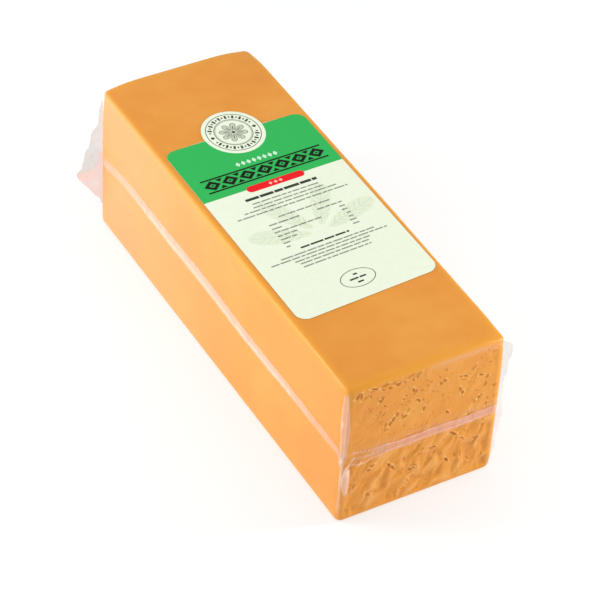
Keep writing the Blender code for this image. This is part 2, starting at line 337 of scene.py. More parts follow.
def makeCheese():
    block = roundedBox(cheeseLook["filmRoom"])
    gridCut(block, cheeseLook["cells"], cheeseLook["cells"], cheeseLook["lengthCells"])
    border = blockLength / 2 - cheeseLook["filmRoom"] - 1e-5
    for facing, splits in ((-1, cheeseLook["tornCells"]), (1, 2)):
        openEdit(block)
        pick(block, "faces", lambda face: all(facing * corner.co.y > border for corner in face.verts))
        bpy.ops.mesh.subdivide(number_cuts=splits - 1)
        closeEdit()
    mesh = block.data
    depth = mesh.attributes.new("tearDepth", "FLOAT", "POINT")
    relief = mesh.attributes.new("relief", "FLOAT", "POINT")
    raised = mesh.attributes.new("lip", "FLOAT", "POINT")
    cell = cheeseLook["tearCell"]
    byCell = {}
    for facing in (-1, 1):
        cells = {}
        for tear in tearsOf(facing):
            for cellX in range(int((tear[0] - 2 * cell) // cell), int((tear[0] + 2 * cell) // cell) + 1):
                for cellZ in range(int((tear[1] - 2 * cell) // cell), int((tear[1] + 2 * cell) // cell) + 1):
                    cells.setdefault((cellX, cellZ), []).append(tear)
        byCell[facing] = cells
    for vertex in mesh.vertices:
        facing = -1 if vertex.co.y < 0 else 1
        if abs(vertex.co.y) < border:
            continue
        across, up = vertex.co.x / mm, vertex.co.z / mm
        close = byCell[facing].get((int(across // cell), int(up // cell)), ())
        tears = [tearAt(across, up, tear) for tear in close]
        torn = max((pocket for pocket, _ in tears), default=0.0)
        lip = max((lip for _, lip in tears), default=0.0) * (1 - ease(torn, 0.02, 0.3))
        seed = curdSeed[facing]
        inward = min(blockWidth / mm / 2 - abs(across), up, blockHeight / mm - up)
        grain = noise.noise(Vector((across * 1.1, up * 1.1, 3.1))) * 0.07 * ease(inward, 1.0, 5.0)
        sunk = ridgeDepth(across, up, seed) + torn - 0.35 * lip + grain
        vertex.co.y -= facing * sunk * mm
        depth.data[vertex.index].value = torn
        raised.data[vertex.index].value = min(lip, 1.0)
        # relief marks crests and hollows of the lumps; the shader paints highlight on crests and shade in
        # hollows from it
        share = ease(inward, 1.0, 7.0) * (1 - 0.7 * ease(up, 36, 50))
        relief.data[vertex.index].value = (hollowAt(across, up, seed) - 0.5) * share
    # painted glow on thin edges, for light shining through them: how close each point lies to two faces at
    # once
    glow = mesh.attributes.new("paintedEdgeGlow", "FLOAT", "POINT")
    for vertex in mesh.vertices:
        gaps = sorted((blockWidth / 2 - abs(vertex.co.x), blockLength / 2 - abs(vertex.co.y),
                       blockHeight / 2 - abs(vertex.co.z - blockHeight / 2)))
        glow.data[vertex.index].value = 1 - ease((gaps[0] + gaps[1]) / mm, 1.4, 5.0)
        vertex.co = softened(vertex.co)
    smoothBy(block, 60)
    nameIt(block, "cheese")
    return block


# Red cheddar: a dense pressed curd coloured with annatto. Light goes a little way in, and its edges get a
# painted glow;
# the cut face is slightly greasy: an even orange with faint marbling, painted shade in pits and hollows,
# painted highlights on crests and lips.
def annattoCheddar():
    material, tree, shader = newMaterial("annattoCheddarPressed")
    place = node(tree, "ShaderNodeTexCoord").outputs["Object"]
    cloudy = node(tree, "ShaderNodeTexNoise", Vector=place, Scale=16.0, Detail=3.0, Roughness=0.55)
    curdPlace = node(tree, "ShaderNodeMapping", Vector=place, Rotation=(0, math.radians(-52), 0),
                     Scale=(70, 70, 130)).outputs["Vector"]
    curd = node(tree, "ShaderNodeTexNoise", Vector=curdPlace, Scale=1.0, Detail=4.0, Roughness=0.6)
    blend = node(tree, "ShaderNodeMix", {"data_type": "FLOAT"}, i0=0.4, i2=cloudy.outputs["Fac"],
                 i3=curd.outputs["Fac"])
    marbling = rampStops(node(tree, "ShaderNodeValToRGB", Fac=blend.outputs[0]),
                         [(0.1, linear(cheeseLook["deep"])), (0.5, linear(cheeseLook["body"])),
                          (0.9, linear(cheeseLook["light"]))])
    # painted glow: the edges are painted a brighter orange where light would shine through thin curd
    rim = node(tree, "ShaderNodeMapRange", Value=attributeOf(tree, "paintedEdgeGlow"), i4=0.7)
    colour = paintOver(tree, rim.outputs[0], marbling.outputs["Color"], cheeseLook["edge"])
    # painted highlight on the crests of the lumps, painted shade in their hollows
    relief = attributeOf(tree, "relief")
    crest = node(tree, "ShaderNodeMapRange", Value=relief, i1=-0.45, i2=-0.04, i3=0.32, i4=0.0)
    colour = paintOver(tree, crest.outputs[0], colour, cheeseLook["paintedHighlight"])
    sunk = node(tree, "ShaderNodeMapRange", Value=relief, i1=0.0, i2=0.45, i4=0.5)
    colour = paintOver(tree, sunk.outputs[0], colour, cheeseLook["low"])
    # painted highlight on the lips beside the tears
    paintedHighlight = node(tree, "ShaderNodeMapRange", Value=attributeOf(tree, "lip"), i1=0.1, i2=0.8, i4=0.8)
    colour = paintOver(tree, paintedHighlight.outputs[0], colour, cheeseLook["paintedHighlight"])
    # painted shade in the tears
    pitShade = node(tree, "ShaderNodeMapRange", Value=attributeOf(tree, "tearDepth"), i1=0.1, i2=1.0, i4=0.6)
    colour = paintOver(tree, pitShade.outputs[0], colour, cheeseLook["pitShade"])
    tree.links.new(colour, shader.inputs["Base Color"])
    shader.inputs["Subsurface Weight"].default_value = 0.15
    shader.inputs["Subsurface Radius"].default_value = (1.0, 0.45, 0.15)
    shader.inputs["Subsurface Scale"].default_value = 0.003
    shader.inputs["Specular IOR Level"].default_value = 0.25
    shader.inputs["Coat Weight"].default_value = 0.2
    shader.inputs["Coat Roughness"].default_value = 0.3
    shader.inputs["Coat IOR"].default_value = 1.5
    gloss = node(tree, "ShaderNodeMapRange", Value=curd.outputs["Fac"], i3=0.38, i4=0.55)
    tree.links.new(gloss.outputs[0], shader.inputs["Roughness"])
    grain = node(tree, "ShaderNodeTexNoise", Vector=place, Scale=900.0, Detail=3.0, Roughness=0.6)
    bump = node(tree, "ShaderNodeBump", Strength=0.25, Distance=0.0003, Height=grain.outputs["Fac"])
    tree.links.new(bump.outputs["Normal"], shader.inputs["Normal"])
    return material


cheese = makeCheese()
cheese.data.materials.append(annattoCheddar())
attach(cheese, "root")
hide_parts("cheese_block")
print("cheese", len(cheese.data.polygons), "faces")


filmLook = {
    "skinCells": 70, "skinLength": 90,
    "seamOff": 0.12,            # mm between the block and the flange
    "seamRows": 12, "seamStep": 1.6,
    # the seam's middle and its height on the left face: mm along the block, mm
    "seamLeft": ((-137.5, 48.0), (-132, 50.2), (-110, 49.7), (-90, 49.2), (-60, 49.3), (-30, 49.6),
                 (30, 50.6), (90, 50.3), (110, 49.8), (130, 46.8), (137.5, 46.0)),
    "seamLeftTall": ((-137.5, 5.8), (-110, 7.0), (-60, 8.4), (0, 10.2), (30, 10.2), (90, 8.8), (130, 7.2),
                     (137.5, 6.0)),
    "seamFront": 44.1, "seamFrontTall": 6.8,
    "seamRight": 44.5, "seamRightTall": 7.0,
    "seamBack": 46.0, "seamBackTall": 6.4,
    "earInset": 4.5,            # mm from the end to the ear's root
    "foldLow": 4, "foldTall": 88, "foldFrom": -5.5, "foldWide": 33,     # mm up, and mm round the edge
    "grey": "#A2A19B", "blush": "#EFB29C", "pink": "#FFD6CC", "cream": "#FFF0DC",
}
# how far the ears of the bag stand out, mm above the floor and mm out
backEar = (
    (15, 0.1), (18.1, 0.8), (20.9, 2.6), (23.3, 4.9), (29.6, 9.4), (36.1, 13.7), (39.1, 15.2), (41.2, 15.4),
    (44, 14.4), (50, 11.9), (53.1, 10.3), (55.9, 9.2), (57.4, 7.6), (60.4, 7.3), (65.8, 6.4), (69.3, 6.0),
    (71.2, 4.2), (73.8, 2.8), (79.7, 2.1), (83.1, 1.6), (88, 0.1),
)
frontEar = (
    (3, 0.5), (9.6, 2.9), (13.6, 3.4), (19, 4.9), (43, 4.9), (49, 4.6), (61, 3.5), (64, 4.7), (70, 6.4),
    (73, 7.5), (80, 7.5), (83.4, 5.2), (86, 1.3), (87, 0.2),
)


# Vacuum film: blown polyamide and polyethylene, drawn tight and heat sealed. It is clear where it lies flat,
# and turns milky along welds and creases. "milk" says how much, painted highlights and a painted reflection
# included, and "tone" goes from grey over pink to cream.
def shrinkFilm():
    material, tree, shader = newMaterial("shrinkFilmSealed")
    colour = rampStops(node(tree, "ShaderNodeValToRGB", Fac=attributeOf(tree, "tone")),
                       [(0.0, linear(filmLook["grey"])), (0.3, linear(filmLook["blush"])),
                        (0.6, linear(filmLook["pink"])), (1.0, linear(filmLook["cream"]))])
    place = node(tree, "ShaderNodeTexCoord").outputs["Object"]
    creases = node(tree, "ShaderNodeTexNoise", {"noise_type": "RIDGED_MULTIFRACTAL"}, Vector=place,
                   Scale=110.0, Detail=3.0)
    cloud = node(tree, "ShaderNodeTexNoise", Vector=place, Scale=320.0, Detail=2.0)
    share = node(tree, "ShaderNodeMapRange", Value=cloud.outputs["Fac"], i1=0.25, i2=0.75, i3=0.92, i4=1.08)
    alpha = node(tree, "ShaderNodeMath", {"operation": "MULTIPLY", "use_clamp": True},
                 i0=attributeOf(tree, "milkAndSheen"), i1=share.outputs[0])
    tree.links.new(colour.outputs["Color"], shader.inputs["Base Color"])
    tree.links.new(alpha.outputs[0], shader.inputs["Alpha"])
    shader.inputs["Roughness"].default_value = 0.28
    shader.inputs["IOR"].default_value = 1.5
    bump = node(tree, "ShaderNodeBump", Strength=0.06, Distance=0.0004, Height=creases.outputs["Fac"])
    tree.links.new(bump.outputs["Normal"], shader.inputs["Normal"])
    return material


filmMaterial = shrinkFilm()


# a sheet of film from a grid: place(up, out) gives the point in mm, the milk and the tone
def filmSheet(name, rows, columns, place):
    deselectAll()
    bpy.ops.mesh.primitive_grid_add(x_subdivisions=columns, y_subdivisions=rows, size=2)
    sheet = bpy.context.object
    milkAndSheen = sheet.data.attributes.new("milkAndSheen", "FLOAT", "POINT")
    tone = sheet.data.attributes.new("tone", "FLOAT", "POINT")
    for vertex in sheet.data.vertices:
        point, cloudy, hue = place((vertex.co.y + 1) / 2, (vertex.co.x + 1) / 2)
        vertex.co = Vector(point) * mm
        milkAndSheen.data[vertex.index].value = cloudy
        tone.data[vertex.index].value = hue
    smoothBy(sheet, 180)
    nameIt(sheet, name)
    sheet.data.materials.append(filmMaterial)
    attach(sheet, "root")
    return sheet


# the plan outline of the block, this far outside it: points with their outward direction
def planWalk(offset, step):
    half, end = blockWidth / mm / 2, blockLength / mm / 2
    front, back = cheeseLook["edgeFront"] / mm, cheeseLook["edgeBack"] / mm
    corners = ((half, -end, front, -90), (half, end, back, 0),
               (-half, end, back, 90), (-half, -end, front, 180))
    arcs = []
    for x, y, radius, first in corners:
        centre = Vector((x - math.copysign(radius, x), y - math.copysign(radius, y)))
        turns = [math.radians(first + 90 * k / 8) for k in range(9)]
        ways = [Vector((math.cos(turn), math.sin(turn))) for turn in turns]
        arcs.append([(centre + (radius + offset) * way, way) for way in ways])
    walk = []
    for arc, following in zip(arcs, arcs[1:] + arcs[:1]):
        walk += arc
        start, finish = arc[-1][0], following[0][0]
        count = round((finish - start).length / step)
        walk += [(start.lerp(finish, k / count), arc[-1][1]) for k in range(1, count)]
    return walk


def seamLevel(x, y):
    k = filmLook
    half, end = blockWidth / mm / 2, blockLength / mm / 2
    front, back, left = ease(-y, end - 5, end), ease(y, end - 6, end), x < 0
    side = along(k["seamLeft"], y) if left else k["seamRight"]
    tall = along(k["seamLeftTall"], y) if left else k["seamRightTall"]
    level = side + (k["seamFront"] - side) * front + (k["seamBack"] - side) * back
    height = tall + (k["seamFrontTall"] - tall) * front + (k["seamBackTall"] - tall) * back
    level += 0.35 * math.sin(y * 0.071 + 1) + 0.25 * math.sin(x * 0.19)
    return level, height


def makeSeam():
    k = filmLook
    walk = planWalk(k["seamOff"], k["seamStep"])
    deselectAll()
    bpy.ops.mesh.primitive_circle_add(vertices=len(walk), radius=1)
    band = bpy.context.object
    openEdit(band, "EDGE")
    bpy.ops.mesh.select_all(action="SELECT")
    for _ in range(k["seamRows"]):
        bpy.ops.mesh.extrude_edges_move(TRANSFORM_OT_translate={"value": (0, 0, 1)})
    closeEdit()
    milkAndSheen = band.data.attributes.new("milkAndSheen", "FLOAT", "POINT")
    tone = band.data.attributes.new("tone", "FLOAT", "POINT")
    # a point's angle round the circle gives its place in the walk
    for vertex in band.data.vertices:
        angle = math.atan2(vertex.co.y, vertex.co.x)
        index = round(angle / (2 * math.pi) * len(walk)) % len(walk)
        row = vertex.co.z
        share = row / k["seamRows"]
        point, out = walk[index]
        level, height = seamLevel(point.x, point.y)
        ragged = 0.5 * noise.noise(Vector((point.x * 0.22, point.y * 0.22, 2.0 if share > 0.5 else 7.0)))
        fine = 0.15 * noise.noise(Vector((point.x * 0.9, point.y * 0.9, 4.0 if share > 0.5 else 9.0)))
        up = level + (share - 0.5) * height + (ragged + fine) * abs(2 * share - 1)
        lift = 0.12 * near(share, 0.3, 0.16) + 0.06 * near(share, 0.7, 0.2)
        lift += 0.05 * noise.noise(Vector((point.x * 0.6, point.y * 0.6, share * 3))) * near(share, 0.5, 0.3)
        vertex.co = softened(Vector((*(point + out * lift) * mm, up * mm)))
        onFront = ease(-point.y, 134, 137)
        edge = ease(share, 0.0, 0.16) * ease(1 - share, 0.0, 0.2)
        core = near(share, 0.30, 0.18) * ease(abs(point.y + 5), 125, 60)
        ends = 1 - 0.4 * ease(-point.y, 70, 125) - 0.25 * ease(point.y, 60, 110)
        cloudy = (0.41 + 0.10 * core) * (1 - onFront) * ends
        if onFront > 0:
            fray = ease(-point.x, 20, 32)
            sheer = 0.34 + 0.12 * ease(point.x, -15, 25)
            sheer += 0.26 * near(share, 0.86, 0.07) * ease(-point.x, -30, 10) + 0.12 * near(share, 0.2, 0.08)
            cloudy += sheer * (1 - fray) * onFront
        patchy = noise.noise(Vector((point.x * 0.16, point.y * 0.12, share * 2)))
        cloudy *= 1 + (0.12 + 0.16 * onFront) * patchy
        milkAndSheen.data[vertex.index].value = cloudy * edge
        frontTone = 0.41 + 0.25 * near(share, 0.86, 0.07)
        tone.data[vertex.index].value = (0.76 + 0.16 * core) * (1 - onFront) + frontTone * onFront
    smoothBy(band, 180)
    nameIt(band, "filmSeam")
    band.data.materials.append(filmMaterial)
    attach(band, "root")
    return band


# an ear of film that stands out sideways from an upright edge, with a waving torn rim
def makeEar(name, side, end, profile, share, phase, clear):
    rootX = blockWidth / mm / 2 + 0.42
    rootY = end * (blockLength / mm / 2 - filmLook["earInset"])
    low, high = profile[0][0], profile[-1][0]

    def place(up, out):
        height = low + (high - low) * up
        ragged = 1 + 0.05 * noise.noise(Vector((height * 0.35, phase, 0)))
        ragged += 0.03 * noise.noise(Vector((height * 1.3, phase, 5)))
        reach = along(profile, height) * share * ragged * out - 0.6 * (1 - out)
        rim = math.sin(height / 4.4 + phase) + 0.5 * math.sin(height / 2.1 + 2 * phase)
        sway = 1.1 * rim * min(max(reach, 0) / 6, 1.0)
        sway += 0.4 * noise.noise(Vector((reach * 0.4, height * 0.3, phase))) * min(max(reach, 0) / 3, 1.0)
        weld = 41.2 + 12 * near(reach, 0, 3.0)
        below = ease(weld - height, -2.5, 2.5)
        onWeld = near(height, weld - 2.5, 3.5)
        close = near(reach, 0, 2.2)
        rimLine = near(out, 1, 0.03) * 0.08
        cloudy = 0.37 + 0.08 * onWeld + 0.05 * below + 0.03 * close + rimLine
        hue = 0.02 + 0.22 * below + 0.12 * onWeld * below + 0.16 * close * (1 - below)
        if clear:
            cloudy, hue = 0.20 + 0.10 * ease(height, 56, 72) + rimLine, 0.02 + 0.14 * ease(60 - height, 0, 20)
        return (side * (rootX + reach), rootY + sway, height), cloudy, min(hue, 0.34)

    return filmSheet(name, 110, 26, place)


# a place round the front left edge: mm round it, below zero on the left face, and mm off the block
def edgePoint(around, offset):
    radius = cheeseLook["edgeFront"] / mm
    centre = Vector((-blockWidth / mm / 2 + radius, -blockLength / mm / 2 + radius))
    half = radius * math.pi / 4
    if around < -half:
        return centre + Vector((-radius - offset, -half - around))
    if around > half:
        return centre + Vector((around - half, -radius - offset))
    angle = math.radians(225) + around / radius
    return centre + (radius + offset) * Vector((math.cos(angle), math.sin(angle)))


# how near a point is to a line from one point to another, as a thin crease
def creaseAt(around, height, first, second, wide):
    run = Vector(second) - Vector(first)
    share = min(max((Vector((around, height)) - Vector(first)).dot(run) / run.length_squared, 0), 1)
    return near((Vector((around, height)) - Vector(first) - run * share).length, 0, wide)


# the ear of the front left edge, folded flat round the edge: pleats above the weld, a knot on it,
# a lens below, and the wrinkled end of the weld beside it; the knot, the lens rim and a line down the edge
# are painted highlights, and the creases partly so
def makeFold():
    upperLeft = ((40, -1.4), (50, -2.1), (60, -2.4), (70, -2.9), (80, -2.7), (88, -2.2), (92, -1.4))
    upperRight = ((40, 0.6), (46, 1.6), (60, 2.5), (66, 2.6), (75, 2.0), (84, 1.0), (92, 0.6))
    lensLeft = ((18, 2.4), (22, 1.8), (27, 0.5), (33, 0.4), (38, 1.1), (42, 2.4))
    lensRight = ((18, 3.0), (22, 4.0), (30, 4.5), (38, 4.1), (42, 2.8))
    # creases, partly milky film and partly painted highlight: from, to, mm wide, how milky; mm round the edge
    # and mm up
    creases = (
        ((1.6, 40), (6.4, 45.6), 0.5, 0.8), ((2.4, 40.5), (0.6, 34), 0.5, 1.0),
        ((2.2, 39.5), (7.8, 42.6), 0.5, 0.45), ((5.4, 49.0), (18.4, 46.6), 0.7, 0.4),
        ((18.4, 46.6), (26.4, 47.2), 0.8, 0.45), ((26.4, 47.2), (39.4, 47.3), 0.7, 0.3),
        ((4.9, 44.9), (13.4, 43.8), 1.0, 0.34), ((13.4, 43.8), (22.4, 44.6), 1.4, 0.4),
        ((3.9, 41.8), (10.1, 39.1), 0.7, 0.4), ((10.1, 39.1), (13.4, 40.2), 0.7, 0.5),
        ((13.4, 40.2), (22.6, 41.2), 0.7, 0.4), ((9.2, 39.4), (10.4, 40.1), 0.9, 0.75),
    )

    def place(up, out):
        height = filmLook["foldLow"] + filmLook["foldTall"] * up
        around = filmLook["foldFrom"] + filmLook["foldWide"] * out
        wander = 0.25 * noise.noise(Vector((height * 0.12, 2.0, 1)))
        side = around + wander
        a, b = along(upperLeft, height), along(upperRight, height)
        inside = ease(side, a - 0.3, a + 0.6) * ease(-side, -b - 0.2, -b + 0.5)
        pleat = max(near(side, 0.4 + wander, 0.4), near(side, b - 0.35, 0.3), 0.7 * near(side, a + 0.6, 0.45))
        cloudy = (0.30 + 0.12 * pleat) * inside * ease(height, 41, 48) * ease(-height, -92.5, -88)
        hue = 0.66 + 0.2 * pleat
        cloudy += 0.26 * near(side, -1.6, 0.7) * near(height, 69.5, 2.2)
        a, b = along(lensLeft, height), along(lensRight, height)
        lens = (ease(side, a - 0.2, a + 0.5) * ease(-side, -b - 0.3, -b + 0.7)
                * ease(height, 17, 23) * ease(-height, -42, -37))
        # the lens rim and the knot are painted highlights
        rim = near(side, a, 0.35) * ease(height, 17, 24) * ease(-height, -42, -38)
        knot = near(side, -0.8, 1.3) * near(height, 44.5, 4.2)
        wobble = Vector((side, height + 0.5 * noise.noise(Vector((side * 0.35, height * 0.2, 8)))))
        crease = max(strength * creaseAt(wobble.x, wobble.y, first, second, wide)
                     for first, second, wide, strength in creases)
        # ridge: a painted highlight down the cheese's edge; bright gathers the painted highlights of rim,
        # knot and creases
        ridge = (near(side, -0.5, 0.8) * ease(height, 4, 12) * ease(-height, -45, -41)
                 * (0.6 + 0.4 * ease(height, 20, 32)))
        bright = max(0.95 * rim, knot, 0.9 * crease)
        pale = lens * (0.42 + 0.2 * near(height, 37, 4))
        cloudy = max(cloudy, pale, 0.62 * bright, 0.44 * ridge)
        strongest = max(lens, bright, ridge)
        if strongest > 0.05:
            hue = hue * (1 - strongest) + max(0.86 * lens, 0.95 * bright, 0.95 * ridge)
        fade = ease(out, 0, 0.03) * ease(1 - out, 0, 0.03)
        lift = 0.16 + 0.2 * pleat * inside + 0.22 * lens + 0.2 * bright
        point = softened(Vector((*edgePoint(around, lift), height)) * mm) / mm
        return point, cloudy * fade, min(hue, 1.0)

    return filmSheet("foldFrontLeft", 190, 120, place)


# the skin-tight bag: it follows the ridges and bridges the tears, and goes hazy where it is pulled; it also
# carries painted highlights along edges and a painted reflection on the left face
def makeSkin():
    skin = roundedBox(0.01 * mm)
    gridCut(skin, filmLook["skinCells"], filmLook["skinCells"], filmLook["skinLength"])
    mesh = skin.data
    milkAndSheen = mesh.attributes.new("milkAndSheen", "FLOAT", "POINT")
    tone = mesh.attributes.new("tone", "FLOAT", "POINT")
    half, end, top = blockWidth / mm / 2, blockLength / mm / 2, blockHeight / mm
    tears = [tear for tear in tearsOf(-1) if tear[5] > 0.8]
    leftFacing = [ease(-vertex.normal.x, 0.1, 0.8) for vertex in mesh.vertices]
    for vertex in mesh.vertices:
        x, y, z = (value / mm for value in vertex.co)
        facing = -1 if y < 0 else 1
        if abs(y) > end - 0.02:
            sunk = 0.9 * ridgeDepth(x, z, curdSeed[facing])
            if facing < 0:
                sunk += 0.3 * max(tearAt(x, z, tear)[0] for tear in tears)
            vertex.co.y -= facing * sunk * mm
        vertex.co = softened(vertex.co)
        front = near(y, -end, 1.5)
        wisp = 0.5 + 0.5 * noise.noise(Vector((x * 0.08, y * 0.05, z * 0.08)))
        streak = 0.5 + 0.5 * noise.noise(Vector((x * 0.05 + z * 0.3, y * 0.12, z * 0.05)))
        hazeAndSheen = 0.008 + 0.012 * wisp * streak
        # painted highlight along the front top edge
        hazeAndSheen += 0.16 * front * near(z, 90.4, 1.7) * ease(x, -4, 8) * (0.6 + 0.4 * streak)
        hazeAndSheen += 0.10 * front * near(z, 48.6, 1.6) * (0.3 + 0.7 * wisp)
        # painted highlight down the right edge of the front, low down
        hazeAndSheen += 0.12 * front * near(x, half - 1.5, 1.8) * ease(40 - z, 0, 14)
        # painted reflection of the left light on the left face, stronger towards the back
        hazeAndSheen += (0.02 + 0.12 * ease(y, -60, end)) * leftFacing[vertex.index]
        milkAndSheen.data[vertex.index].value = hazeAndSheen
        tone.data[vertex.index].value = 0.95
    smoothBy(skin, 60)
    nameIt(skin, "filmSkin")
    skin.data.materials.append(filmMaterial)
    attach(skin, "root")
    return skin


filmSkin = makeSkin()
filmSeam = makeSeam()
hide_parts("film_seam")
earBackLeft = makeEar("earBackLeft", -1, 1, backEar, 1.0, 0.4, False)
earBackRight = makeEar("earBackRight", 1, 1, backEar, 0.9, 2.1, False)
earFrontRight = makeEar("earFrontRight", 1, -1, frontEar, 1.0, 3.3, True)
foldFrontLeft = makeFold()
print("film")


labelLook = {
    "left": -42.4, "right": 44.8, "near": -78.3, "far": 73.5, "corner": 6.6,
    "sealX": 1.9, "sealY": 73.7, "sealWide": 18.0, "sealTall": 1.06,
    "leanFar": 0.007, "leanNear": 0.049,    # how much each end is out of square
    "lift": 0.06, "paperThick": 0.12,
    "headTo": 26.0,
    "green": "#2EB256", "paper": "#E6EED8", "red": "#E8101E", "dark": "#0A1404", "grey": "#8F978A",
    "ink": "#333B30", "pale": "#CDEBD2", "faint": "#DDE7CD", "vein": "#C9D3B9",
    "sealPaper": "#E6EFD8", "petal": "#C3CBB6", "engraved": "#596154", "blush": "#F4B9A4",
    "ruleLeft": -35.8, "ruleRight": 39.3, "ruleThick": 1.1,
    "weaveX": -30.9, "weaveStep": 10.9, "weaveY": 37.35, "weaveHalf": 5.25,  # from its middle to a rule
    "leafX": 3.5, "leafY": -23,
}
inkLift = 0.02  # mm between one ink and the next


# from the artwork to its place on the block: the label is cut slightly out of square, so its near edge leans
def laid(x, y):
    k = labelLook
    share = min(max((k["far"] - y) / (k["far"] - k["near"]), 0), 1)
    lean = k["leanFar"] + k["leanNear"] * share ** 1.4
    across = x * 0.982 - 0.77
    return across * mm, (y * 0.9845 - 2.86 + lean * (across - 0.5)) * mm


def arcPoints(x, y, radius, first, last, steps, tall=1.0):
    turns = [math.radians(first + (last - first) * k / steps) for k in range(steps + 1)]
    return [(x + radius * math.cos(turn), y + radius * tall * math.sin(turn)) for turn in turns]


def disc(x, y, radius, steps=72, tall=1.0):
    turns = [2 * math.pi * k / steps for k in range(steps)]
    return [(x + radius * math.cos(turn), y + radius * tall * math.sin(turn)) for turn in turns]


def bar(x0, x1, y, tall):
    return [(x0, y - tall / 2), (x1, y - tall / 2), (x1, y + tall / 2), (x0, y + tall / 2)]


def lozenge(x, y, wide, tall):
    return [(x - wide / 2, y), (x, y - tall / 2), (x + wide / 2, y), (x, y + tall / 2)]


# a flat curve filled between its outlines, turned into a mesh that faces up
def flatPiece(name, outlines, height):
    flat = bpy.data.curves.new(name, "CURVE")
    flat.dimensions = "2D"
    flat.fill_mode = "FRONT"
    for outline in outlines:
        spline = flat.splines.new("POLY")
        spline.points.add(len(outline) - 1)
        for point, (x, y) in zip(spline.points, outline):
            point.co = (*laid(x, y), 0, 1)
        spline.use_cyclic_u = True
    piece = bpy.data.objects.new(name, flat)
    bpy.context.scene.collection.objects.link(piece)
    makeActive(piece)
    bpy.ops.object.convert(target="MESH")
    piece = bpy.context.object
    piece.location.z = height * mm
    applyPlace(piece)
    openEdit(piece)
    bpy.ops.mesh.select_all(action="SELECT")
    bpy.ops.mesh.normals_make_consistent(inside=False)
    closeEdit()
    if sum(face.normal.z * face.area for face in piece.data.polygons) < 0:
        openEdit(piece)
        bpy.ops.mesh.select_all(action="SELECT")
        bpy.ops.mesh.flip_normals()
        closeEdit()
    nameIt(piece, name)
    return piece


# Label stock: coated paper, printed in flat inks and lightly varnished, so it has a soft even sheen.
def coatedPaper(name, colour, roughness=0.42):
    material, tree, shader = newMaterial(name)
    place = node(tree, "ShaderNodeTexCoord").outputs["Object"]
    fibre = node(tree, "ShaderNodeTexNoise", Vector=place, Scale=420.0, Detail=3.0, Roughness=0.6)
    tone = rampStops(node(tree, "ShaderNodeValToRGB", Fac=fibre.outputs["Fac"]),
                     [(0.3, [c * 0.965 for c in linear(colour)[:3]]), (0.7, linear(colour))])
    tree.links.new(tone.outputs["Color"], shader.inputs["Base Color"])
    shader.inputs["Roughness"].default_value = roughness
    shader.inputs["Specular IOR Level"].default_value = 0.12
    bump = node(tree, "ShaderNodeBump", Strength=0.10, Distance=0.0001, Height=fibre.outputs["Fac"])
    tree.links.new(bump.outputs["Normal"], shader.inputs["Normal"])
    return material


def addPrint(name, outlines, layer, material):
    height = blockHeight / mm + labelLook["lift"] + labelLook["paperThick"] + (layer + 1) * inkLift
    sheet = flatPiece(name, outlines, height)
    sheet.data.materials.append(material)
    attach(sheet, "root")
    return sheet


def labelOutline():
    k = labelLook
    points = arcPoints(k["left"] + k["corner"], k["near"] + k["corner"], k["corner"], 180, 270, 10)
    points += arcPoints(k["right"] - k["corner"], k["near"] + k["corner"], k["corner"], 270, 360, 10)
    points += arcPoints(k["right"] - k["corner"], k["far"] - k["corner"], k["corner"], 0, 90, 10)
    points += arcPoints(k["sealX"], k["sealY"], k["sealWide"], 0, 180, 48, k["sealTall"])
    points += arcPoints(k["left"] + k["corner"], k["far"] - k["corner"], k["corner"], 90, 180, 10)
    return points


def headOutline():
    k = labelLook
    points = [(k["left"], k["headTo"]), (k["right"], k["headTo"])]
    points += arcPoints(k["right"] - k["corner"], k["far"] - k["corner"], k["corner"], 0, 90, 10)
    points += arcPoints(k["left"] + k["corner"], k["far"] - k["corner"], k["corner"], 90, 180, 10)
    return points


# a line of word-long dashes, centred or from the left, in place of small print
def dashes(x0, x1, y, tall, words, draw):
    spans = []
    x = x0
    while x < x1 - 1.0:
        wide = min(draw.uniform(*words), x1 - x)
        if x1 - x - wide < 1.6:
            wide = x1 - x
        spans.append(bar(x, x + wide, y, tall))
        x += wide + 0.75
    return spans


labelSheet = flatPiece("labelSheet", [labelOutline()], blockHeight / mm + labelLook["lift"])
labelWall = labelSheet.modifiers.new("paper", "SOLIDIFY")
labelWall.thickness = labelLook["paperThick"] * mm
labelWall.offset = 1
applyModifiers(labelSheet)
labelSheet.data.materials.append(coatedPaper("labelPaperCoated", labelLook["paper"]))
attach(labelSheet, "root")
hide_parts("label")

printGreen = addPrint("printGreen", [headOutline()], 0, coatedPaper("inkGreen", labelLook["green"]))
sealDisc = disc(labelLook["sealX"], labelLook["sealY"], labelLook["sealWide"] - 0.1, 72,
                labelLook["sealTall"])
printSeal = addPrint("printSeal", [sealDisc], 1, coatedPaper("sealPaper", labelLook["sealPaper"]))


# a woven border of lozenges between two rules
def titleRow():
    k = labelLook
    y, half = k["weaveY"], k["weaveStep"] / 2
    shapes = [bar(k["ruleLeft"], k["ruleRight"], y + way * k["weaveHalf"], k["ruleThick"]) for way in (1, -1)]
    for step in range(7):
        x = k["weaveX"] + k["weaveStep"] * step
        shapes += [lozenge(x, y, 10.0, 8.4), lozenge(x, y, 4.2, 3.5), lozenge(x, y, 1.8, 1.5)]
        if step:
            shapes.append([(x - half - 2.1, y + 4.05), (x - half, y + 1.55), (x - half + 2.1, y + 4.05)])
            shapes.append([(x - half - 2.1, y - 4.05), (x - half + 2.1, y - 4.05), (x - half, y - 1.55)])
    return shapes


